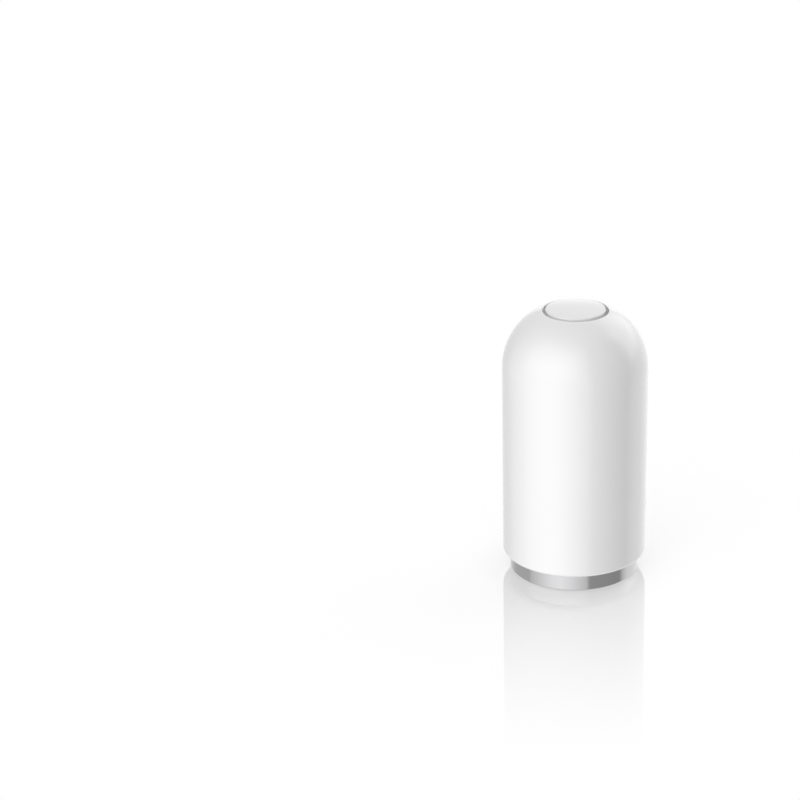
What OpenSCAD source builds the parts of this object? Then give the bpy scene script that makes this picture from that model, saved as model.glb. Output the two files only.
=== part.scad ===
// Stylus cap: a bullet-shaped shell with a polished rim ring, a domed crown disc
// and a magnetic socket that slips over the plug of a pen-shaped stylus.
// Millimetres. The origin is the centre of the mouth and +Z points to the crown.

/* [Shell] */
// Outside diameter of the shell, the same as the barrel that the cap closes
shell_d = 8.9; // [7.2:0.1:12]
// Height from the mouth plane to the top of the shell
cap_h = 16.85; // [13.5:0.05:24]
// Radius of the shoulder arc between the straight wall and the crown
shoulder_r = 4; // [2.8:0.05:4.8]
// Wall of the shell beside the rim ring and the liner
skirt_wall = 0.55; // [0.44:0.01:0.8]
// Width of the inner step that the liner seats against
step_w = 0.3; // [0.2:0.01:0.5]
// Radius of the rounded lower edge of the shell
lip_r = 0.25; // [0.1:0.01:0.42]
// Thickness of the shell under the crown disc
crown_floor = 0.7; // [0.4:0.05:1.2]

/* [Crown disc] */
// Diameter of the crown disc
disc_d = 3.64; // [2.8:0.02:4.6]
// Thickness of the crown disc at its rim
disc_t = 0.5; // [0.3:0.05:0.8]
// Height of the disc's rim above the top of the shell
disc_rise = 0.1; // [0.02:0.01:0.2]
// Height of the disc's domed top above its rim
disc_dome = 0.12; // [0.04:0.01:0.3]
// Radius of the disc's upper edge
disc_edge_r = 0.08; // [0.02:0.01:0.14]
// Width of the open seam around the disc
seam_w = 0.18; // [0.05:0.01:0.25]
// Flat land between the seam and the shoulder arc
land_w = 0.06; // [0.05:0.01:0.2]
// Radius of the shell's edge along the seam
land_edge_r = 0.04; // [0.01:0.01:0.05]
// Diameter of the spigot that centres the disc
spigot_d = 1.4; // [0.8:0.1:2]
// Clearance around the spigot
spigot_gap = 0.05; // [0.02:0.01:0.1]
// Thickness of the adhesive film under the disc
film_t = 0.06; // [0.03:0.01:0.12]
// Margin that the film keeps from the edges of its seat
film_margin = 0.1; // [0.05:0.01:0.2]

/* [Rim ring] */
// Height of the ring that shows below the shell
ring_h = 1.1; // [0.6:0.05:1.4]
// Width of the ledge that the ring bears on the shell's lower edge
ring_ledge = 0.1; // [0.04:0.01:0.18]
// Length of the ring's shank inside the shell
shank_h = 0.55; // [0.4:0.05:1]
// Radius of the ring's outer edge at the mouth
ring_edge_r = 0.1; // [0.04:0.01:0.16]
// Radius of the ring's inner edge at the mouth
mouth_edge_r = 0.1; // [0.04:0.01:0.14]

/* [Socket] */
// Depth of the socket from the mouth plane
socket_depth = 8; // [6:0.1:10]
// Radius of the fillet around the bottom of the socket
socket_fillet_r = 0.3; // [0.1:0.05:0.8]
// Wall of the liner around the socket
liner_wall = 0.42; // [0.34:0.01:0.6]
// Thickness of the liner's closed end
liner_end_t = 0.6; // [0.4:0.05:1]
// Clearance between the skirt and what is pushed into it
liner_gap = 0.03; // [0.02:0.005:0.06]
// End clearance between the liner and the step
end_gap = 0.02; // [0.01:0.005:0.05]
// Height of the liner's adhesive groove
liner_groove_h = 0.8; // [0.4:0.05:1.2]
// Height of the groove's middle above the magnets
liner_groove_rise = 1.6; // [1:0.1:2]

/* [Magnets] */
// Number of arc magnets around the socket
magnet_count = 6; // [4:1:8]
// Height of each magnet
magnet_h = 2.2; // [1.4:0.1:3]
// Distance that each magnet stands back from the socket's wall
magnet_setback = 0.04; // [0.02:0.01:0.06]
// Clearance around each magnet in its pocket
magnet_gap = 0.02; // [0.01:0.005:0.04]
// Width of the liner's fingers between the magnets
finger_w = 0.5; // [0.3:0.05:0.9]

/* [Adhesive beads] */
// Depth of the grooves that hold the adhesive beads
groove_d = 0.12; // [0.06:0.01:0.16]
// Height of the groove in the ring's shank
ring_groove_h = 0.24; // [0.2:0.01:0.36]
// Clearance left around each bead
bead_gap = 0.01; // [0.005:0.005:0.02]

/* [Hidden] */

// Facets of every circle and turned surface
$fn = 96;
// Facets of the large circle that the disc's dome is cut from
dome_fn = 4 * $fn;
// How far a cut runs past the face that it opens
overcut = 0.5;

// Radii from the wall inwards
shell_r = shell_d / 2;
skirt_r = shell_r - skirt_wall;
hollow_r = skirt_r - step_w;
insert_r = skirt_r - liner_gap;
socket_r = insert_r - liner_wall;
ring_r = skirt_r + ring_ledge;

// Heights from the mouth upwards
lip_z = ring_h;
shank_z = lip_z + shank_h;
magnet_z = shank_z + magnet_gap;
pocket_z = magnet_z + magnet_h + magnet_gap;
liner_top_z = socket_depth + liner_end_t;
step_z = liner_top_z + end_gap;

// Crown, from the rim of the disc downwards
disc_rim_z = cap_h + disc_rise;
film_top_z = disc_rim_z - disc_t;
seat_z = film_top_z - film_t;
ceiling_z = seat_z - crown_floor;
disc_r = disc_d / 2;
spigot_r = spigot_d / 2;
spigot_hole_r = spigot_r + spigot_gap;
seat_r = disc_r + seam_w;

// Dome of the disc: through its rim, and disc_dome higher in the middle
dome_r = (disc_r * disc_r + disc_dome * disc_dome) / (2 * disc_dome);
dome_z = disc_rim_z + disc_dome - dome_r;
// Arc of the disc's edge: tangent to its wall and, at the radius edge_touch_r, to the dome
edge_arc_x = disc_r - disc_edge_r;
edge_arc_z = dome_z + sqrt(pow(dome_r - disc_edge_r, 2) - edge_arc_x * edge_arc_x);
edge_touch_r = edge_arc_x * dome_r / (dome_r - disc_edge_r);

// Shoulder arc: tangent to the wall, and through the outer edge of the crown's land
shoulder_x = shell_r - shoulder_r;
crown_run = seat_r + land_w - shoulder_x;
shoulder_z = cap_h - sqrt(shoulder_r * shoulder_r - crown_run * crown_run);
hollow_arc_r = shoulder_r - (shell_r - hollow_r);

// Magnets and the fingers between them, as angles at the middle of the liner's wall
liner_mid_r = (socket_r + insert_r) / 2;
degrees_per_mm = 180 / (PI * liner_mid_r);
magnet_pitch = 360 / magnet_count;
pocket_angle = magnet_pitch - finger_w * degrees_per_mm;
magnet_angle = pocket_angle - 2 * magnet_gap * degrees_per_mm;

// Middle heights of the two adhesive grooves
ring_groove_z = lip_z + shank_h / 2;
liner_groove_z = pocket_z + liner_groove_rise;

// A section that spans radius r0 to r1 and height z0 to z1
module band(r0, r1, z0, z1) {
    translate([r0, z0])
        square([r1 - r0, z1 - z0]);
}

// What rounding takes off the corner at [r, z], which points outwards or inwards
// and up or down as the signs side and rise say
module corner_cut(r, z, side, rise, radius) {
    reach = radius + overcut;
    translate([r - side * radius, z - rise * radius])
        difference() {
            translate([side > 0 ? 0 : -reach, rise > 0 ? 0 : -reach])
                square(reach);
            circle(r = radius);
        }
}

// A straight wall of radius wall_r from z0, closed by an arc about the shoulder's centre
module bullet_section(wall_r, arc_r, z0, z1) {
    band(0, wall_r, z0, shoulder_z);
    intersection() {
        translate([shoulder_x, shoulder_z])
            circle(r = arc_r);
        band(0, wall_r + overcut, shoulder_z, z1);
    }
}

// The groove for an adhesive bead, around a wall of radius insert_r
module groove_section(middle_z, height) {
    band(insert_r - groove_d, insert_r + overcut, middle_z - height / 2, middle_z + height / 2);
}

// A bead that fills such a groove and reaches the skirt
module bead(middle_z, height) {
    half = height / 2 - bead_gap;
    rotate_extrude()
        band(insert_r - groove_d + bead_gap, skirt_r - bead_gap, middle_z - half, middle_z + half);
}

// Turns a section through an angle centred on magnet number i
module magnet_sector(i, angle) {
    rotate([0, 0, (i - 1) * magnet_pitch - angle / 2])
        rotate_extrude(angle = angle)
            children();
}

module outer_shell() {
    color("white")
        rotate_extrude()
            difference() {
                bullet_section(shell_r, shoulder_r, lip_z, cap_h);
                band(-overcut, skirt_r, lip_z - overcut, step_z);
                bullet_section(hollow_r, hollow_arc_r, step_z - overcut, ceiling_z);
                band(-overcut, spigot_hole_r, ceiling_z - overcut, seat_z + overcut);
                band(-overcut, seat_r, seat_z, cap_h + overcut);
                corner_cut(seat_r, cap_h, -1, 1, land_edge_r);
                corner_cut(shell_r, lip_z, 1, -1, lip_r);
            }
}

module crown_disc() {
    color("whitesmoke")
        rotate_extrude()
            difference() {
                union() {
                    intersection() {
                        translate([0, dome_z])
                            circle(r = dome_r, $fn = dome_fn);
                        band(0, disc_r, film_top_z, disc_rim_z + overcut);
                    }
                    band(0, spigot_r, ceiling_z, film_top_z);
                }
                difference() {
                    band(edge_touch_r, disc_r + overcut, edge_arc_z, disc_rim_z + overcut);
                    translate([edge_arc_x, edge_arc_z])
                        circle(r = disc_edge_r);
                }
            }
}

module crown_adhesive() {
    color("lightyellow")
        rotate_extrude()
            band(spigot_hole_r + film_margin, disc_r - film_margin, seat_z, film_top_z);
}

module rim_ring() {
    color("silver")
        rotate_extrude()
            difference() {
                union() {
                    band(socket_r, ring_r, 0, lip_z);
                    band(socket_r, insert_r, lip_z, shank_z);
                }
                corner_cut(ring_r, 0, 1, -1, ring_edge_r);
                corner_cut(socket_r, 0, -1, -1, mouth_edge_r);
                groove_section(ring_groove_z, ring_groove_h);
            }
}

module rim_adhesive() {
    color("lightyellow")
        bead(ring_groove_z, ring_groove_h);
}

module socket_liner() {
    color("gainsboro")
        difference() {
            rotate_extrude()
                difference() {
                    band(0, insert_r, shank_z, liner_top_z);
                    difference() {
                        band(-overcut, socket_r, shank_z - overcut, socket_depth);
                        corner_cut(socket_r, socket_depth, 1, 1, socket_fillet_r);
                    }
                    groove_section(liner_groove_z, liner_groove_h);
                }
            for (i = [1:magnet_count])
                magnet_sector(i, pocket_angle)
                    band(socket_r - overcut, insert_r + overcut, shank_z - overcut, pocket_z);
        }
}

module liner_adhesive() {
    color("lightyellow")
        bead(liner_groove_z, liner_groove_h);
}

module magnet(i) {
    color("darkgray")
        magnet_sector(i, magnet_angle)
            band(socket_r + magnet_setback, insert_r, magnet_z, magnet_z + magnet_h);
}

outer_shell();
crown_disc();
crown_adhesive();
rim_ring();
rim_adhesive();
socket_liner();
liner_adhesive();
for (i = [1:magnet_count])
    magnet(i);
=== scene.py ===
"""Looks of a white stylus cap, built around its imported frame.

The pieces that show are turned or swept meshes in place of the coarser solids of the frame. Every piece has
a procedural finish, and the cap stands on a pale floor in a soft studio tent. The scene is in metres, and
the outlines of the pieces are in millimetres, as is a size whose name ends in _mm.
"""

import logging
import math
from dataclasses import dataclass, field
from enum import Enum
from typing import Any, Iterable, Union

import bmesh
import bpy
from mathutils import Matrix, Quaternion, Vector


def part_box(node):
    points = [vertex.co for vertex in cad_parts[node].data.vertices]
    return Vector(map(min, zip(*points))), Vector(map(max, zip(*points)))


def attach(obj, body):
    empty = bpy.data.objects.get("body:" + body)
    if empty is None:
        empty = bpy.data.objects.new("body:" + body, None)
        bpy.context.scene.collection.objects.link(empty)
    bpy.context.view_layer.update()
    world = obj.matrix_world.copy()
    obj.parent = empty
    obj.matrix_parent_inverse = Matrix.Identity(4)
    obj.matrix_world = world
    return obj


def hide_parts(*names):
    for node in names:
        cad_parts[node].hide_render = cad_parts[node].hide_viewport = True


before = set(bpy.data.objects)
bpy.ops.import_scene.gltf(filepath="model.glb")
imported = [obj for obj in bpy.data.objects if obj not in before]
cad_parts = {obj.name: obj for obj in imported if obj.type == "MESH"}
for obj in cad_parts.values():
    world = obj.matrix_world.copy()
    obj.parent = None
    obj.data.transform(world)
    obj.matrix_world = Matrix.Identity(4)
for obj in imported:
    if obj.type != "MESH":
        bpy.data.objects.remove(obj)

LOG = logging.getLogger("stylus_cap")
MM = 0.001
PER_MM = 1 / MM
BODY = "root"
NOISE_MEAN = 0.5
# A smooth step from 0 to 1: its mean, and its mean weighted by the place along the step
STEP_MEAN = 1 / 2
STEP_MOMENT = 7 / 20
# The liner and the ring's shank have the same wall, so that the socket is one bore
SOCKET_WALL_MM = 0.42

Point = tuple[float, float]
Span = tuple[float, float]
Stop = tuple[float, float]
Colour = tuple[float, float, float]
Row = list[bmesh.types.BMVert]
Value = Union["Channel", float]


class Slot(Enum):
    """Material slot names for the modelled pieces; this script assigns none of them."""

    SHELL = "gloss_white"
    RING = "polished_ring"
    MAGNET = "magnet_nickel"


class Channel:
    """A shader value: one output socket, whose arithmetic adds Math nodes."""

    def __init__(self, graph: "Graph", socket: bpy.types.NodeSocket) -> None:
        """Wraps a socket of the graph."""
        self.graph = graph
        self.socket = socket

    def __add__(self, other: Value) -> "Channel":
        """Returns self + other."""
        return self.graph.math("ADD", self, other)

    __radd__ = __add__

    def __sub__(self, other: Value) -> "Channel":
        """Returns self - other."""
        return self.graph.math("SUBTRACT", self, other)

    def __rsub__(self, other: Value) -> "Channel":
        """Returns other - self."""
        return self.graph.math("SUBTRACT", other, self)

    def __mul__(self, other: Value) -> "Channel":
        """Returns self * other."""
        return self.graph.math("MULTIPLY", self, other)

    __rmul__ = __mul__

    def __truediv__(self, other: Value) -> "Channel":
        """Returns self / other."""
        return self.graph.math("DIVIDE", self, other)

    def __rtruediv__(self, other: Value) -> "Channel":
        """Returns other / self."""
        return self.graph.math("DIVIDE", other, self)

    def __pow__(self, other: Value) -> "Channel":
        """Returns self ** other."""
        return self.graph.math("POWER", self, other)

    def __rpow__(self, other: Value) -> "Channel":
        """Returns other ** self."""
        return self.graph.math("POWER", other, self)

    def __neg__(self) -> "Channel":
        """Returns -self."""
        return self.graph.math("MULTIPLY", self, -1.0)

    def run(self, other: Value, share: "Channel") -> "Channel":
        """Returns this value, run into another by a share from 0 to 1."""
        return self + share * (other - self)


@dataclass(frozen=True)
class Grain:
    """A noise pattern.

    Attributes:
        per_mm: Its features in a millimetre.
        detail: Number of finer layers.
        roughness: Weight of the finer layers.
    """

    per_mm: float
    detail: float = 2.0
    roughness: float = 0.5


class Graph:
    """The node tree of one material or of the world."""

    def __init__(self, tree: bpy.types.NodeTree) -> None:
        """Takes a tree to build in and empties it."""
        self.tree = tree
        tree.nodes.clear()

    @staticmethod
    def _socket(sockets: Iterable[bpy.types.NodeSocket], key: str) -> bpy.types.NodeSocket:
        """Returns the socket with that identifier."""
        return next(socket for socket in sockets if socket.identifier == key)

    def add(self, kind: str, settings: dict[str, Any], inputs: dict[str, Any], output: str) -> Channel:
        """Adds one node.

        Args:
            kind: Type of the node.
            settings: Its properties, or the stops of its ramp, which are set first.
            inputs: A number, a colour or a Channel for each named input.
            output: Name of the output that is wanted.

        Returns:
            The output as a Channel.
        """
        node = self.tree.nodes.new(kind)
        for name, setting in settings.items():
            if name == "stops":
                self._set_stops(node.color_ramp, setting)
            else:
                setattr(node, name, setting)
        for key, given in inputs.items():
            target = self._socket(node.inputs, key)
            if isinstance(given, Channel):
                self.tree.links.new(given.socket, target)
            else:
                target.default_value = given
        return Channel(self, self._socket(node.outputs, output))

    @staticmethod
    def _set_stops(ramp: bpy.types.ColorRamp, stops: Iterable[Stop]) -> None:
        """Gives a ramp its stops.

        Args:
            ramp: Ramp with Blender's two stops.
            stops: Place and grey level of each stop.
        """
        ramp.elements.remove(ramp.elements[1])
        for number, (place, level) in enumerate(stops):
            stop = ramp.elements.new(place) if number else ramp.elements[0]
            stop.position = place
            stop.color = (level, level, level, 1.0)

    def math(self, operation: str, first: Value, second: Value) -> Channel:
        """Returns what an operation of the Math node makes of two values."""
        values = {"Value": first, "Value_001": second}
        return self.add("ShaderNodeMath", {"operation": operation}, values, "Value")

    def clamped(self, value: Channel) -> Channel:
        """Returns the value, kept from 0 to 1."""
        return self.add("ShaderNodeClamp", {}, {"Value": value, "Min": 0.0, "Max": 1.0}, "Result")

    def surface(self, shader: Channel, kind: str = "ShaderNodeOutputMaterial") -> None:
        """Links a shader to a new output node of that type."""
        node = self.tree.nodes.new(kind)
        self.tree.links.new(shader.socket, node.inputs["Surface"])

    def coordinates(self, output: str = "Object") -> Channel:
        """Returns a vector of the Texture Coordinate node."""
        return self.add("ShaderNodeTexCoord", {}, {}, output)

    def light_path(self, output: str) -> Channel:
        """Returns an output of the Light Path node."""
        return self.add("ShaderNodeLightPath", {}, {}, output)

    def scaled(self, vector: Channel, scale: float) -> Channel:
        """Returns the vector times a number."""
        inputs = {"Vector": vector, "Scale": scale}
        return self.add("ShaderNodeVectorMath", {"operation": "SCALE"}, inputs, "Vector")

    def axes(self, vector: Channel) -> tuple[Channel, Channel, Channel]:
        """Splits a vector.

        Args:
            vector: Vector to split.

        Returns:
            Its X, Y and Z.
        """
        first = self.add("ShaderNodeSeparateXYZ", {}, {"Vector": vector}, "X")
        outputs = first.socket.node.outputs
        return first, Channel(self, outputs["Y"]), Channel(self, outputs["Z"])

    def vector(self, x: Value, y: Value, z: Value) -> Channel:
        """Returns the vector of three values."""
        return self.add("ShaderNodeCombineXYZ", {}, {"X": x, "Y": y, "Z": z}, "Vector")

    def place_mm(self) -> Channel:
        """Returns the place on the piece, in millimetres."""
        return self.scaled(self.coordinates(), PER_MM)

    def noise(self, place: Channel, grain: Grain) -> Channel:
        """Returns a noise pattern, whose mean is NOISE_MEAN, at a place in millimetres."""
        inputs = {"Scale": grain.per_mm, "Detail": grain.detail, "Roughness": grain.roughness}
        return self.add("ShaderNodeTexNoise", {}, {"Vector": place, **inputs}, "Fac")

    def rise(self, value: Channel, low: float, high: float) -> Channel:
        """Adds a smooth step.

        Args:
            value: Value that is stepped.
            low: Its level where the step starts.
            high: Its level where the step ends.

        Returns:
            A value from 0 to 1.
        """
        settings = {"interpolation_type": "SMOOTHSTEP"}
        inputs = {"Value": value, "From Min": low, "From Max": high, "To Min": 0.0, "To Max": 1.0}
        return self.add("ShaderNodeMapRange", settings, inputs, "Result")

    def blend(self, factor: Value, first: Colour, second: Colour) -> Channel:
        """Returns two colours mixed, with the factor as the second one's share."""
        inputs = {"Factor_Float": factor, "A_Color": (*first, 1.0), "B_Color": (*second, 1.0)}
        return self.add("ShaderNodeMix", {"data_type": "RGBA"}, inputs, "Result_Color")

    def bump(self, height: Channel, depth_mm: float) -> Channel:
        """Returns the normal, bent by a height whose full step has that depth."""
        return self.add("ShaderNodeBump", {}, {"Height": height, "Distance": depth_mm * MM}, "Normal")

    def mixed(self, factor: Value, first: Channel, second: Channel) -> Channel:
        """Returns two shaders mixed, with the factor as the second one's share."""
        inputs = {"Fac": factor, "Shader": first, "Shader_001": second}
        return self.add("ShaderNodeMixShader", {}, inputs, "Shader")

    def summed(self, first: Channel, second: Channel) -> Channel:
        """Returns the sum of two shaders."""
        return self.add("ShaderNodeAddShader", {}, {"Shader": first, "Shader_001": second}, "Shader")

    def principled(self, **inputs: Any) -> Channel:
        """Returns a Principled shader; an underscore in a name stands for a space."""
        named = {name.replace("_", " "): value for name, value in inputs.items()}
        return self.add("ShaderNodeBsdfPrincipled", {}, named, "BSDF")


@dataclass(frozen=True)
class Finish:
    """A procedural finish, made once as a material.

    Attributes:
        name: Name of the material.
        tint: Main colour.
    """

    name: str
    tint: Colour

    def shade(self, graph: Graph) -> Channel:
        """Returns the finish's shader."""
        raise NotImplementedError

    def material(self) -> bpy.types.Material:
        """Makes the material at the first call.

        Returns:
            The material.
        """
        made = bpy.data.materials.get(self.name)
        if made is None:
            made = bpy.data.materials.new(self.name)
            made.use_nodes = True
            graph = Graph(made.node_tree)
            graph.surface(self.shade(graph))
        return made


@dataclass(frozen=True)
class GlossPlastic(Finish):
    """Polished white plastic with faint flow clouds, fine wiping marks and a trace of orange peel.

    Attributes:
        cloud_tint: Colour of the slightly denser clouds.
        clouds: Pattern of the clouds.
        roughness: Roughness of the polish.
        roughness_spread: How much the wiping marks change it.
        marks: Pattern of the wiping marks.
        peel_mm: Depth of the orange peel.
        peel: Pattern of the orange peel.
        lacquer: Weight of the clear lacquer on top.
        lacquer_roughness: Roughness of the lacquer.
    """

    cloud_tint: Colour = (0.875, 0.875, 0.875)
    clouds: Grain = Grain(per_mm=0.35, detail=3.0)
    roughness: float = 0.13
    roughness_spread: float = 0.08
    marks: Grain = Grain(per_mm=2.6, detail=5.0, roughness=0.7)
    peel_mm: float = 0.0008
    peel: Grain = Grain(per_mm=1.7, detail=1.0)
    lacquer: float = 1.0
    lacquer_roughness: float = 0.04

    def shade(self, graph: Graph) -> Channel:
        """Makes the plastic's shader.

        Args:
            graph: Graph to build in.

        Returns:
            The shader.
        """
        place = graph.place_mm()
        return graph.principled(
            Base_Color=graph.blend(graph.noise(place, self.clouds), self.tint, self.cloud_tint),
            Roughness=self.roughness + self.roughness_spread * (graph.noise(place, self.marks) - NOISE_MEAN),
            Normal=graph.bump(graph.noise(place, self.peel), self.peel_mm),
            Coat_Weight=self.lacquer,
            Coat_Roughness=self.lacquer_roughness,
        )


@dataclass(frozen=True)
class PolishedSteel(Finish):
    """Turned and polished steel, with fine lines that run around the axis.

    Attributes:
        line_tint: Colour along the deeper turning lines.
        roughness: Roughness of the polish.
        roughness_spread: How much the turning lines and smudges change it.
        line_mm: Depth of the turning lines.
        lines: Pattern of the turning lines, across them.
        smudges: Pattern of the smudges.
    """

    line_tint: Colour = (0.6, 0.6, 0.61)
    roughness: float = 0.09
    roughness_spread: float = 0.08
    line_mm: float = 0.00008
    lines: Grain = Grain(per_mm=26.0)
    smudges: Grain = Grain(per_mm=0.9, detail=4.0)

    def shade(self, graph: Graph) -> Channel:
        """Makes the steel's shader.

        Args:
            graph: Graph to build in.

        Returns:
            The shader.
        """
        place = graph.place_mm()
        x, y, z = graph.axes(place)
        radius = (x * x + y * y) ** 0.5
        lines = graph.noise(graph.vector(radius, z, 0.0), self.lines)
        wear = lines * graph.noise(place, self.smudges) - NOISE_MEAN**2
        return graph.principled(
            Base_Color=graph.blend(lines, self.tint, self.line_tint),
            Metallic=1.0,
            Roughness=self.roughness + self.roughness_spread * wear,
            Normal=graph.bump(lines, self.line_mm),
        )


@dataclass(frozen=True)
class MattePlastic(Finish):
    """Moulded plastic with a spark-eroded grain.

    Attributes:
        hollow_tint: Colour in the hollows of the grain.
        roughness: Roughness between the grains.
        roughness_spread: How much the grains change it.
        grain_mm: Depth of the grain.
        grain: Pattern of the grain.
        clouds: Pattern of the clouds in the plastic.
        cloud_share: Share of the clouds in the colour.
    """

    hollow_tint: Colour = (0.79, 0.79, 0.78)
    roughness: float = 0.52
    roughness_spread: float = 0.12
    grain_mm: float = 0.006
    grain: Grain = Grain(per_mm=9.0, detail=3.0, roughness=0.6)
    clouds: Grain = Grain(per_mm=0.5)
    cloud_share: float = 0.3

    def shade(self, graph: Graph) -> Channel:
        """Makes the plastic's shader.

        Args:
            graph: Graph to build in.

        Returns:
            The shader.
        """
        place = graph.place_mm()
        grain = graph.noise(place, self.grain)
        clouds = graph.noise(place, self.clouds)
        colour_share = grain * (1 - self.cloud_share) + clouds * self.cloud_share
        return graph.principled(
            Base_Color=graph.blend(colour_share, self.hollow_tint, self.tint),
            Roughness=self.roughness + self.roughness_spread * (grain - NOISE_MEAN),
            Normal=graph.bump(grain, self.grain_mm),
        )


@dataclass(frozen=True)
class NickelPlate(Finish):
    """Bright nickel over a sintered magnet, with a few fine pits.

    Attributes:
        pit_tint: Colour in the pits.
        roughness: Roughness of the plate.
        sinter_roughness: Roughness that the sintered grain adds.
        pit_roughness: Roughness that a pit adds.
        pit_mm: Depth of the pits and the grain.
        sinter: Pattern of the sintered grain.
        pits: Pattern that the pits are cut from.
        pit_range: Levels of that pattern where a pit starts and where it is full.
    """

    pit_tint: Colour = (0.42, 0.41, 0.39)
    roughness: float = 0.16
    sinter_roughness: float = 0.1
    pit_roughness: float = 0.15
    pit_mm: float = 0.0006
    sinter: Grain = Grain(per_mm=6.0, detail=4.0, roughness=0.6)
    pits: Grain = Grain(per_mm=14.0, detail=1.0)
    pit_range: Span = (0.7, 0.8)

    def shade(self, graph: Graph) -> Channel:
        """Makes the plate's shader.

        Args:
            graph: Graph to build in.

        Returns:
            The shader.
        """
        place = graph.place_mm()
        sinter = graph.noise(place, self.sinter)
        pits = graph.rise(graph.noise(place, self.pits), *self.pit_range)
        return graph.principled(
            Base_Color=graph.blend(pits, self.tint, self.pit_tint),
            Metallic=1.0,
            Roughness=self.roughness + self.sinter_roughness * sinter + self.pit_roughness * pits,
            Normal=graph.bump(sinter - pits, self.pit_mm),
        )


@dataclass(frozen=True)
class CuredBond(Finish):
    """Cured adhesive with trapped bubbles.

    Attributes:
        bubble_tint: Colour of the bubbles.
        roughness: Roughness of the skin.
        roughness_spread: How much the waves of the skin change it.
        skin_mm: Depth of the waves.
        skin: Pattern of the waves.
        bubbles: Pattern that the bubbles are cut from.
        bubble_range: Levels of that pattern where a bubble starts and where it is full.
        bubble_rise: Height of a bubble, as a share of the waves' depth.
        gloss: Weight of the clear film on top.
    """

    bubble_tint: Colour = (0.93, 0.91, 0.83)
    roughness: float = 0.24
    roughness_spread: float = 0.15
    skin_mm: float = 0.01
    skin: Grain = Grain(per_mm=1.4, detail=3.0)
    bubbles: Grain = Grain(per_mm=8.0, detail=1.0)
    bubble_range: Span = (0.6, 0.68)
    bubble_rise: float = 0.3
    gloss: float = 0.3

    def shade(self, graph: Graph) -> Channel:
        """Makes the adhesive's shader.

        Args:
            graph: Graph to build in.

        Returns:
            The shader.
        """
        place = graph.place_mm()
        bubbles = graph.rise(graph.noise(place, self.bubbles), *self.bubble_range)
        skin = graph.noise(place, self.skin)
        return graph.principled(
            Base_Color=graph.blend(bubbles, self.tint, self.bubble_tint),
            Roughness=self.roughness + self.roughness_spread * (skin - NOISE_MEAN),
            Normal=graph.bump(skin + self.bubble_rise * bubbles, self.skin_mm),
            Coat_Weight=self.gloss,
        )


SHELL_WHITE = GlossPlastic("shell_white", (0.9, 0.9, 0.9))
DISC_WHITE = GlossPlastic("disc_white", (0.9, 0.9, 0.9), roughness=0.18, lacquer=0.3)
RING_STEEL = PolishedSteel("ring_steel", (0.64, 0.64, 0.65))
LINER_WHITE = MattePlastic("liner_white", (0.86, 0.86, 0.85))
MAGNET_NICKEL = NickelPlate("magnet_nickel_plate", (0.66, 0.64, 0.6))
BOND_AMBER = CuredBond("bond_amber", (0.85, 0.8, 0.66))


@dataclass
class Outline:
    """A closed outline in the half plane of radius and height, in millimetres.

    Attributes:
        points: Its points so far, as (radius, height).
        support_mm: Distance of the points that keep a straight run flat beside a curve.
        support_share: Most of a run's length that this distance may take.
        sag_mm: Most that a chord may lie inside its arc.
        same_mm: Distance under which two points are one.
    """

    points: list[Point] = field(default_factory=list)
    support_mm: float = 0.03
    support_share: float = 0.3
    sag_mm: float = 0.0004
    same_mm: float = 1e-6

    def line(self, r: float, z: float) -> "Outline":
        """Draws a straight run, with a support point near each end.

        Args:
            r: Radius of the run's end.
            z: Height of the run's end.

        Returns:
            The outline.
        """
        if self.points:
            r0, z0 = self.points[-1]
            near = min(self.support_mm / math.hypot(r - r0, z - z0), self.support_share)
            self.points += [(r0 + (r - r0) * t, z0 + (z - z0) * t) for t in (near, 1 - near)]
        self.points.append((r, z))
        return self

    def arc(self, middle: Point, radius: float, start_deg: float, end_deg: float) -> "Outline":
        """Draws an arc, whose start is where the outline has come to.

        Args:
            middle: Its centre.
            radius: Its radius.
            start_deg: Angle of its start, from the outward direction towards the crown.
            end_deg: Angle of its end.

        Returns:
            The outline.
        """
        r, z = middle
        sweep = math.radians(end_deg - start_deg)
        steps = math.ceil(abs(sweep) / (2 * math.acos(1 - self.sag_mm / radius)))
        for i in range(1, steps + 1):
            angle = math.radians(start_deg) + sweep * i / steps
            self.points.append((r + radius * math.cos(angle), z + radius * math.sin(angle)))
        return self

    def loop(self) -> list[Point]:
        """Returns the points, without a last one that has come back to the first."""
        closed = math.dist(self.points[0], self.points[-1]) < self.same_mm
        return self.points[:-1] if closed else self.points

    def inset(self, depth_mm: float) -> list[Point]:
        """Works out a smaller outline inside this one, which is drawn anticlockwise.

        Args:
            depth_mm: How far inside.

        Returns:
            As many points as the loop has.
        """
        points = self.loop()
        moved = []
        for before, (r, z), after in zip(points[-1:] + points, points, points[1:] + points[:1]):
            share = depth_mm / math.dist(before, after)
            moved.append((r - (after[1] - before[1]) * share, z + (after[0] - before[0]) * share))
        return moved

    def middle(self) -> Point:
        """Returns the middle of the outline's box."""
        radii, heights = zip(*self.points)
        return (min(radii) + max(radii)) / 2, (min(heights) + max(heights)) / 2


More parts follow.
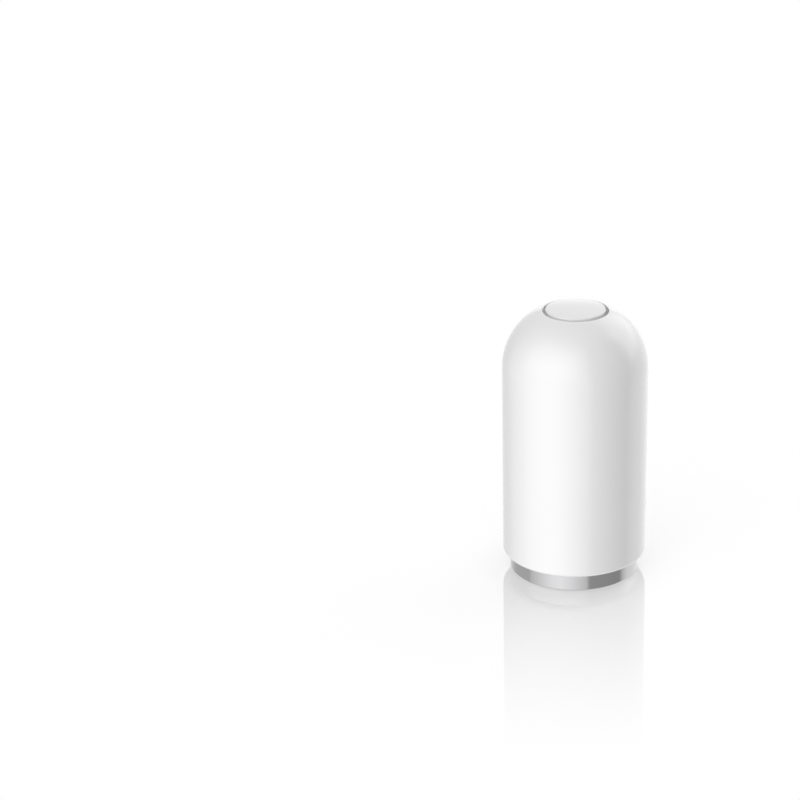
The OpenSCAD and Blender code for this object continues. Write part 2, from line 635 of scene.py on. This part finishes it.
@dataclass(frozen=True)
class Workshop:
    """Makes the cap's meshes.

    Attributes:
        columns: Columns of a full turn.
        edge_steps: Steps of a rounded edge at the end of a sweep.
        sharp_deg: Angle from which an edge is shaded sharp.
        axis_mm: Radius under which a point lies on the axis.
    """

    columns: int = 192
    edge_steps: int = 3
    sharp_deg: float = 35.0
    axis_mm: float = 1e-6

    def turn(self, name: str, outline: Outline) -> bpy.types.Object:
        """Turns a closed outline about the axis.

        Args:
            name: Name of the piece.
            outline: Outline to turn.

        Returns:
            The piece.
        """
        mesh = bmesh.new()
        rows = [self._row(mesh, point) for point in outline.loop()]
        for low, high in zip(rows, rows[1:] + rows[:1]):
            self._bridge(mesh, low, high)
        return self._piece(name, mesh)

    def sweep(self, name: str, outline: Outline, span_deg: Span, edge_mm: float) -> bpy.types.Object:
        """Sweeps a closed outline through part of a turn, with both ends closed and their edges rounded.

        Args:
            name: Name of the piece.
            outline: Outline to sweep, drawn anticlockwise.
            span_deg: Angles where the sweep starts and ends.
            edge_mm: Radius of the rounding.

        Returns:
            The piece.
        """
        mesh = bmesh.new()
        middle = outline.middle()
        start, end = (math.radians(angle) for angle in span_deg)
        edge = edge_mm / middle[0]
        steps = round(self.columns * (end - start) / math.tau)
        bends = [math.pi / 2 * i / self.edge_steps for i in range(self.edge_steps + 1)]
        first = [(start + edge * (1 - math.cos(bend)), edge_mm * (1 - math.sin(bend))) for bend in bends]
        last = [(start + end - angle, inset_mm) for angle, inset_mm in reversed(first)]
        between = [(start + edge + (end - start - 2 * edge) * i / steps, 0.0) for i in range(1, steps)]
        rows = [[mesh.verts.new(self._place(middle, start))]]
        for angle, inset_mm in first + between + last:
            rows.append([mesh.verts.new(self._place(point, angle)) for point in outline.inset(inset_mm)])
        rows.append([mesh.verts.new(self._place(middle, end))])
        for low, high in zip(rows, rows[1:]):
            self._bridge(mesh, low, high)
        return self._piece(name, mesh)

    @staticmethod
    def _place(point: Point, angle: float) -> Vector:
        """Returns an outline's point, turned to an angle."""
        r, z = point
        return Vector((r * math.cos(angle), r * math.sin(angle), z)) * MM

    def _row(self, mesh: bmesh.types.BMesh, point: Point) -> Row:
        """Adds the vertices that a point makes in a full turn.

        Args:
            mesh: Mesh to add to.
            point: Point of an outline.

        Returns:
            A vertex for each column, or a single one on the axis.
        """
        if point[0] < self.axis_mm:
            return [mesh.verts.new(self._place(point, 0.0))]
        angles = (math.tau * i / self.columns for i in range(self.columns))
        return [mesh.verts.new(self._place(point, angle)) for angle in angles]

    @staticmethod
    def _bridge(mesh: bmesh.types.BMesh, low: Row, high: Row) -> None:
        """Joins two rows of vertices with faces.

        Args:
            mesh: Mesh to add to.
            low: First row.
            high: Second row; either may be a single vertex.
        """
        count = max(len(low), len(high))
        if count == 1:
            return
        for i in range(count):
            places = ((low, i), (low, i + 1), (high, i + 1), (high, i))
            mesh.faces.new(dict.fromkeys(row[place % len(row)] for row, place in places))

    def _piece(self, name: str, mesh: bmesh.types.BMesh) -> bpy.types.Object:
        """Turns the faces outwards, shades them and links the mesh to the scene.

        Args:
            name: Name of the piece.
            mesh: Mesh to use up.

        Returns:
            The new object.
        """
        bmesh.ops.recalc_face_normals(mesh, faces=mesh.faces[:])
        data = bpy.data.meshes.new(name)
        mesh.to_mesh(data)
        mesh.free()
        data.polygons.foreach_set("use_smooth", [True] * len(data.polygons))
        data.set_sharp_from_angle(angle=math.radians(self.sharp_deg))
        piece = bpy.data.objects.new(name, data)
        bpy.context.scene.collection.objects.link(piece)
        return piece


WORKSHOP = Workshop()


def fit_piece(piece: bpy.types.Object, node: str, finish: Finish) -> None:
    """Puts a finished piece in the place of a node of the frame.

    Args:
        piece: The piece.
        node: The node that it stands for.
        finish: Its finish.
    """
    piece.data.materials.append(finish.material())
    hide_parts(node)
    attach(piece, BODY)
    LOG.info("%s stands for %s in %s", piece.name, node, finish.name)


def heights_mm(node: str) -> Span:
    """Returns the lowest and highest point of a node of the frame, in millimetres."""
    low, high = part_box(node)
    return low.z * PER_MM, high.z * PER_MM


def radius_mm(node: str) -> float:
    """Returns the outer radius of a turned node of the frame, in millimetres."""
    low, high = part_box(node)
    return max(high.x, high.y, -low.x, -low.y) * PER_MM


@dataclass
class Shell:
    """The outer shell with its crown disc.

    Attributes:
        skirt_wall_mm: Wall beside the rim ring and the liner.
        step_mm: Width of the inner step.
        lip_mm: Radius of the lower edge.
        shoulder_mm: Radius of the shoulder arc.
        seam_mm: Width of the seam around the disc.
        land_mm: Flat land between the seam and the shoulder.
        land_edge_mm: Radius of the shell's edge along the seam.
        disc_edge_mm: Radius of the disc's edge.
        disc_mm: Thickness of the disc at its rim.
        dome_mm: Height of the disc's domed top above its rim.
        film_mm: Thickness of the film under the disc.
        spigot_mm: Radius of the disc's spigot.
        spigot_gap_mm: Clearance around the spigot.
    """

    skirt_wall_mm: float = 0.55
    step_mm: float = 0.3
    lip_mm: float = 0.25
    shoulder_mm: float = 4.0
    seam_mm: float = 0.18
    land_mm: float = 0.06
    land_edge_mm: float = 0.04
    disc_edge_mm: float = 0.08
    disc_mm: float = 0.5
    dome_mm: float = 0.12
    film_mm: float = 0.06
    spigot_mm: float = 0.7
    spigot_gap_mm: float = 0.05

    def build(self) -> None:
        """Builds and dresses both pieces."""
        fit_piece(WORKSHOP.turn("shell_moulding", self._shell()), "outer_shell", SHELL_WHITE)
        fit_piece(WORKSHOP.turn("crown_inlay", self._disc()), "crown_disc", DISC_WHITE)

    def _under_z(self) -> float:
        """Returns the height of the disc's underside."""
        return heights_mm("crown_disc")[1] - self.dome_mm - self.disc_mm

    def _shell(self) -> Outline:
        """Draws the shell, from the lip up the outside and down the inside.

        Returns:
            Its outline.
        """
        wall = radius_mm("outer_shell")
        lip_z, top_z = heights_mm("outer_shell")
        ceiling_z = heights_mm("crown_disc")[0]
        step_z = heights_mm("socket_liner")[1]
        lip, edge, arc = self.lip_mm, self.land_edge_mm, self.shoulder_mm
        bore = wall - self.skirt_wall_mm
        seat = radius_mm("crown_disc") + self.seam_mm
        seat_z = self._under_z() - self.film_mm
        hole = self.spigot_mm + self.spigot_gap_mm
        arc_r = wall - arc
        arc_deg = math.degrees(math.acos((seat + self.land_mm - arc_r) / arc))
        arc_z = top_z - arc * math.sin(math.radians(arc_deg))
        hollow = arc - self.skirt_wall_mm - self.step_mm
        hollow_deg = math.degrees(math.asin((ceiling_z - arc_z) / hollow))
        ceiling = arc_r + hollow * math.cos(math.radians(hollow_deg))
        outline = Outline().line(bore, lip_z).line(wall - lip, lip_z)
        outline.arc((wall - lip, lip_z + lip), lip, -90, 0).line(wall, arc_z)
        outline.arc((arc_r, arc_z), arc, 0, arc_deg).line(seat + edge, top_z)
        outline.arc((seat + edge, top_z - edge), edge, 90, 180).line(seat, seat_z)
        outline.line(hole, seat_z).line(hole, ceiling_z).line(ceiling, ceiling_z)
        outline.arc((arc_r, arc_z), hollow, hollow_deg, 0).line(bore - self.step_mm, step_z)
        return outline.line(bore, step_z).line(bore, lip_z)

    def _disc(self) -> Outline:
        """Draws the disc, from the middle of its top to the end of its spigot.

        Returns:
            Its outline.
        """
        rim = radius_mm("crown_disc")
        end_z, top_z = heights_mm("crown_disc")
        under_z = self._under_z()
        edge = self.disc_edge_mm
        dome = (rim**2 + self.dome_mm**2) / (2 * self.dome_mm)
        dome_z = top_z - dome
        touch_deg = math.degrees(math.acos((rim - edge) / (dome - edge)))
        edge_z = dome_z + (dome - edge) * math.sin(math.radians(touch_deg))
        outline = Outline().line(0, top_z).arc((0, dome_z), dome, 90, touch_deg)
        outline.arc((rim - edge, edge_z), edge, touch_deg, 0).line(rim, under_z)
        return outline.line(self.spigot_mm, under_z).line(self.spigot_mm, end_z).line(0, end_z)


@dataclass
class RimRing:
    """The polished ring at the mouth.

    Attributes:
        edge_mm: Radius of the outer edge at the mouth.
        mouth_edge_mm: Radius of the inner edge at the mouth.
        seat_edge_mm: Radius of the outer edge under the shell.
        wall_mm: Wall of the shank.
        groove_mm: Depth of the adhesive groove.
        groove_h_mm: Height of the adhesive groove.
    """

    edge_mm: float = 0.1
    mouth_edge_mm: float = 0.1
    seat_edge_mm: float = 0.02
    wall_mm: float = SOCKET_WALL_MM
    groove_mm: float = 0.12
    groove_h_mm: float = 0.24

    def build(self) -> None:
        """Builds and dresses the ring."""
        fit_piece(WORKSHOP.turn("rim_band", self._outline()), "rim_ring", RING_STEEL)

    def _outline(self) -> Outline:
        """Draws the ring, from the mouth up the outside and down the bore.

        Returns:
            Its outline.
        """
        band = radius_mm("rim_ring")
        shank = radius_mm("socket_liner")
        bore = shank - self.wall_mm
        lip_z = heights_mm("outer_shell")[0]
        top_z = heights_mm("rim_ring")[1]
        groove_low = (lip_z + top_z - self.groove_h_mm) / 2
        groove_high = groove_low + self.groove_h_mm
        edge, seat, mouth = self.edge_mm, self.seat_edge_mm, self.mouth_edge_mm
        outline = Outline().line(bore + mouth, 0).line(band - edge, 0)
        outline.arc((band - edge, edge), edge, -90, 0).line(band, lip_z - seat)
        outline.arc((band - seat, lip_z - seat), seat, 0, 90).line(shank, lip_z)
        outline.line(shank, groove_low).line(shank - self.groove_mm, groove_low)
        outline.line(shank - self.groove_mm, groove_high).line(shank, groove_high)
        outline.line(shank, top_z).line(bore, top_z).line(bore, mouth)
        return outline.arc((bore + mouth, mouth), mouth, 180, 270)


@dataclass
class Socket:
    """The magnets around the socket, with the liner and the adhesive that stay as they are in the frame.

    Attributes:
        setback_mm: Distance of the magnets behind the socket's wall.
        wall_mm: Wall of the liner.
        finger_mm: Width of the liner's fingers between the magnets.
        gap_mm: Clearance at each side of a magnet.
        edge_mm: Radius of the magnets' long edges.
        end_edge_mm: Radius of the edges at their ends.
    """

    setback_mm: float = 0.04
    wall_mm: float = SOCKET_WALL_MM
    finger_mm: float = 0.5
    gap_mm: float = 0.02
    edge_mm: float = 0.05
    end_edge_mm: float = 0.03

    def build(self) -> None:
        """Builds and dresses the magnets, and dresses the liner and the adhesive."""
        magnets = sorted(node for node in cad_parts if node.startswith("magnet_"))
        for number, node in enumerate(magnets):
            self._magnet(number, node, 360 / len(magnets))
        self._dress("socket_liner", LINER_WHITE)
        for node in ("crown_adhesive", "rim_adhesive", "liner_adhesive"):
            self._dress(node, BOND_AMBER)

    def _magnet(self, number: int, node: str, pitch_deg: float) -> None:
        """Builds one magnet.

        Args:
            number: Its place around the socket, from 0.
            node: The node that it stands for.
            pitch_deg: Angle from one magnet to the next.
        """
        outer = radius_mm("socket_liner")
        inner = outer - self.wall_mm + self.setback_mm
        low, high = heights_mm(node)
        edge = self.edge_mm
        outline = Outline().line(inner + edge, low).line(outer - edge, low)
        outline.arc((outer - edge, low + edge), edge, -90, 0).line(outer, high - edge)
        outline.arc((outer - edge, high - edge), edge, 0, 90).line(inner + edge, high)
        outline.arc((inner + edge, high - edge), edge, 90, 180).line(inner, low + edge)
        outline.arc((inner + edge, low + edge), edge, 180, 270)
        between_mm = self.finger_mm + 2 * self.gap_mm
        half_deg = (pitch_deg - math.degrees(between_mm / (outer - self.wall_mm / 2))) / 2
        span_deg = (number * pitch_deg - half_deg, number * pitch_deg + half_deg)
        piece = WORKSHOP.sweep(f"magnet_arc_{number + 1}", outline, span_deg, self.end_edge_mm)
        fit_piece(piece, node, MAGNET_NICKEL)

    @staticmethod
    def _dress(node: str, finish: Finish) -> None:
        """Gives a node of the frame its finish.

        Args:
            node: The node.
            finish: Its finish.
        """
        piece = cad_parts[node]
        piece.data.materials.clear()
        piece.data.materials.append(finish.material())
        LOG.info("%s stays as it is, in %s", node, finish.name)


@dataclass(frozen=True)
class Card:
    """A soft box or a card in the tent, which shows only in reflections.

    A height is that of a direction: 0 at the horizon, 1 straight up.

    Attributes:
        turn_deg: Angle of its middle around the cap, from the camera's side and to the right.
        half_deg: Half its width, to the middle of its soft edge.
        low: Height of the middle of its lower edge.
        high: Height of the middle of its upper edge.
        soft: Half the height of those edges.
        glow: Brightness that it adds to the wall.
        soft_deg: Half the width of its side edges.
    """

    turn_deg: float
    half_deg: float
    low: float
    high: float
    soft: float
    glow: float
    soft_deg: float = 10.0

    def shine(self, graph: Graph, x: Channel, y: Channel, z: Channel) -> Channel:
        """Adds the card to a graph.

        Args:
            graph: Graph of the world.
            x: X of the direction.
            y: Y of the direction.
            z: Z of the direction.

        Returns:
            Brightness that the card adds in that direction.
        """
        turn = math.radians(self.turn_deg)
        facing = (x * math.sin(turn) - y * math.cos(turn)) / (x * x + y * y) ** 0.5
        outer = math.cos(math.radians(self.half_deg + self.soft_deg))
        inner = math.cos(math.radians(self.half_deg - self.soft_deg))
        above = graph.rise(z, self.low - self.soft, self.low + self.soft)
        below = 1.0 - graph.rise(z, self.high - self.soft, self.high + self.soft)
        return self.glow * graph.rise(facing, outer, inner) * above * below


@dataclass(frozen=True)
class Tent:
    """The soft studio tent that lights the cap, as the world's background.

    A stop of the wall is an angle around the cap, in degrees from the camera's side and to the right, and
    the level there.

    Attributes:
        lit: Light of the tent's wall on matt surfaces.
        shown: Brightness of the wall in reflections.
        cards: Soft boxes and cards on the wall.
        roof_lit: Light of the roof on matt surfaces.
        roof_shown: Brightness of the roof in reflections.
        roof_from: Height of a direction where the wall starts to run into the roof.
        roof_shown_from: The same height in reflections.
        floor_shown: Brightness of the floor in reflections.
        floor_shown_from: Depth of a direction where the wall starts to run into the floor in reflections.
        backdrop: Brightness of the backdrop in the floor's own mirror image.
    """

    lit: tuple[Stop, ...] = (
        (-180, 0.8), (-110, 0.0), (-60, 1.15), (-30, 2.0), (-5, 0.95), (40, 0.6),
        (65, 0.0), (85, 0.0), (115, 1.7), (145, 1.5), (180, 0.8),
    )
    shown: tuple[Stop, ...] = (
        (-180, 1.0), (-130, 0.55), (-88, 0.55), (-84, 0.7), (-40, 1.15), (-24, 1.2), (-10, 1.1),
        (22, 0.75), (28, 0.4), (80, 0.35), (90, 0.35), (97, 0.65), (110, 0.9), (145, 1.0), (180, 1.0),
    )
    cards: tuple[Card, ...] = (
        Card(turn_deg=-40, half_deg=48, low=0.05, high=0.7, soft=0.25, glow=0.45, soft_deg=18),
        Card(turn_deg=130, half_deg=26, low=0.1, high=0.75, soft=0.15, glow=0.55),
        Card(turn_deg=180, half_deg=12, low=-0.05, high=0.25, soft=0.08, glow=0.38, soft_deg=6),
    )
    roof_lit: float = 0.87
    roof_shown: float = 0.4
    roof_from: float = 0.55
    roof_shown_from: float = 0.7
    floor_shown: float = 0.8
    floor_shown_from: float = 0.5
    backdrop: float = 2.5

    def floor_light(self) -> float:
        """Works out the light on a matt floor that nothing shades.

        Returns:
            The wall's mean light, run into the roof's by the share of a floor's light that comes from there.
        """
        spans = zip(self.lit, self.lit[1:])
        wall = sum((end - start) * (first + last) / 2 for (start, first), (end, last) in spans) / 360
        # The roof's smooth step runs from roof_from to 1, and light on a floor is weighted by its height
        span = 1 - self.roof_from
        roof_share = 2 * span * (STEP_MEAN * self.roof_from + STEP_MOMENT * span)
        return wall + roof_share * (self.roof_lit - wall)

    def build(self) -> None:
        """Builds the world."""
        world = bpy.data.worlds.new("studio_tent")
        world.use_nodes = True
        bpy.context.scene.world = world
        graph = Graph(world.node_tree)
        x, y, z = graph.axes(graph.coordinates("Generated"))
        # Half a turn at the camera's side, and more to the right
        turn = graph.math("ARCTAN2", x, -y) / math.tau + 0.5
        lit = self._wall(graph, turn, self.lit).run(self.roof_lit, graph.rise(z, self.roof_from, 1.0))
        shown = self._wall(graph, turn, self.shown)
        shown = shown.run(self.roof_shown, graph.rise(z, self.roof_shown_from, 1.0))
        shown = shown.run(self.floor_shown, graph.rise(-z, self.floor_shown_from, 1.0))
        for card in self.cards:
            shown = shown + card.shine(graph, x, y, z)
        level = lit.run(shown, graph.light_path("Is Glossy Ray"))
        level = level.run(self.backdrop, graph.light_path("Is Singular Ray"))
        seen = graph.light_path("Is Camera Ray") + graph.light_path("Is Transmission Ray")
        level = level.run(1.0, graph.clamped(seen))
        inputs = {"Color": graph.vector(level, level, level), "Strength": 1.0}
        graph.surface(graph.add("ShaderNodeBackground", {}, inputs, "Background"), "ShaderNodeOutputWorld")
        LOG.info("studio tent with a backdrop of %.1f", self.backdrop)

    @staticmethod
    def _wall(graph: Graph, turn: Channel, stops: tuple[Stop, ...]) -> Channel:
        """Returns the wall's level, which runs straight from stop to stop."""
        ramp = [(angle / 360 + 0.5, level) for angle, level in stops]
        return graph.add("ShaderNodeValToRGB", {"stops": ramp}, {"Fac": turn}, "Color")


@dataclass(frozen=True)
class Floor:
    """The pale floor, which shows a faint image of the cap that fades with the distance.

    Attributes:
        half_size: Half the side of the floor.
        drop_mm: Distance of the floor under the cap.
        mirror: Share of the backdrop and the cap in the image.
        matt: Share of the light that the floor scatters, which carries the cap's shadow.
        reach_mm: Distance from the ring at which the image has gone.
        fade: How quickly the image fades, as a power of the distance left.
    """

    half_size: float = 3.0
    drop_mm: float = 0.004
    mirror: float = 0.12
    matt: float = 0.5
    reach_mm: float = 20.0
    fade: float = 1.5

    def build(self, tent: Tent) -> None:
        """Builds the floor.

        Args:
            tent: Tent that stands on it.
        """
        mesh = bmesh.new()
        side = self.half_size
        corners = ((-side, -side), (side, -side), (side, side), (-side, side))
        mesh.faces.new([mesh.verts.new((x, y, -self.drop_mm * MM)) for x, y in corners])
        data = bpy.data.meshes.new("studio_floor")
        mesh.to_mesh(data)
        mesh.free()
        floor = bpy.data.objects.new("studio_floor", data)
        bpy.context.scene.collection.objects.link(floor)
        data.materials.append(self._material(tent))
        floor.visible_diffuse = False
        floor.visible_glossy = False
        floor.visible_shadow = False
        LOG.info("floor %.1f m square", 2 * side)

    def _material(self, tent: Tent) -> bpy.types.Material:
        """Makes the floor's material, which is plain white where the cap is neither seen nor shades it.

        Args:
            tent: Tent that lights the floor.

        Returns:
            The material.
        """
        material = bpy.data.materials.new("floor_white")
        material.use_nodes = True
        graph = Graph(material.node_tree)
        white = self._glow(graph, 1.0)
        mirrored = {"Color": (self.mirror, self.mirror, self.mirror, 1.0), "Roughness": 0.0}
        scattered = {"Color": (self.matt, self.matt, self.matt, 1.0)}
        top = self._glow(graph, 1.0 - self.mirror * tent.backdrop - self.matt * tent.floor_light())
        top = graph.summed(top, graph.add("ShaderNodeBsdfAnisotropic", {}, mirrored, "BSDF"))
        top = graph.summed(top, graph.add("ShaderNodeBsdfDiffuse", {}, scattered, "BSDF"))
        x, y, _ = graph.axes(graph.place_mm())
        away = ((x * x + y * y) ** 0.5 - radius_mm("rim_ring")) / self.reach_mm
        near = (1.0 - graph.clamped(away)) ** self.fade
        top = graph.mixed(near, white, top)
        clear = graph.add("ShaderNodeBsdfTransparent", {}, {}, "BSDF")
        below = graph.add("ShaderNodeNewGeometry", {}, {}, "Backfacing")
        graph.surface(graph.mixed(below, top, clear))
        return material

    @staticmethod
    def _glow(graph: Graph, strength: float) -> Channel:
        """Returns a white glow."""
        inputs = {"Color": (1.0, 1.0, 1.0, 1.0), "Strength": strength}
        return graph.add("ShaderNodeEmission", {}, inputs, "Emission")


@dataclass(frozen=True)
class CameraRig:
    """The camera, at the photograph's angle.

    Attributes:
        elevation_deg: Height of the camera above the horizon.
        roll_deg: Turn of the camera about its own axis.
        distance_mm: Distance of the camera from the point that it looks at.
        aim_mm: Height of that point on the cap's axis.
        scale_px: Pixels to a millimetre there.
        aim_px: Where that point is in the picture, from its top left.
        picture_px: Side of the picture.
        sensor_mm: Width of the sensor.
        clip: Nearest and furthest distance that the camera shows.
    """

    elevation_deg: float = 23.4
    roll_deg: float = 0.31
    distance_mm: float = 150.0
    aim_mm: float = 8.5
    scale_px: float = 16.3
    aim_px: Point = (574.88, 437.8)
    picture_px: float = 800.0
    sensor_mm: float = 36.0
    clip: Span = (0.01, 10.0)

    def build(self) -> None:
        """Builds the camera and makes it the scene's."""
        data = bpy.data.cameras.new("camera")
        data.sensor_width = self.sensor_mm
        data.lens = self.scale_px * self.distance_mm / self.picture_px * self.sensor_mm
        data.shift_x = 0.5 - self.aim_px[0] / self.picture_px
        data.shift_y = self.aim_px[1] / self.picture_px - 0.5
        data.clip_start, data.clip_end = self.clip
        elevation = math.radians(self.elevation_deg)
        back = Vector((0.0, -math.cos(elevation), math.sin(elevation)))
        camera = bpy.data.objects.new("camera", data)
        camera.location = (Vector((0.0, 0.0, self.aim_mm)) + back * self.distance_mm) * MM
        roll = Quaternion((0.0, 0.0, 1.0), math.radians(self.roll_deg))
        camera.rotation_euler = ((-back).to_track_quat("-Z", "Y") @ roll).to_euler()
        bpy.context.scene.collection.objects.link(camera)
        bpy.context.scene.camera = camera
        LOG.info("camera with a %.0f mm lens", data.lens)


def main() -> None:
    """Builds the cap's looks and the studio around it."""
    logging.basicConfig(level=logging.INFO, format="%(name)s: %(message)s")
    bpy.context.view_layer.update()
    bpy.context.scene.view_settings.view_transform = "Standard"
    tent = Tent()
    for part in (Shell(), RimRing(), Socket(), tent, CameraRig()):
        part.build()
    Floor().build(tent)


if __name__ == "__main__":
    main()
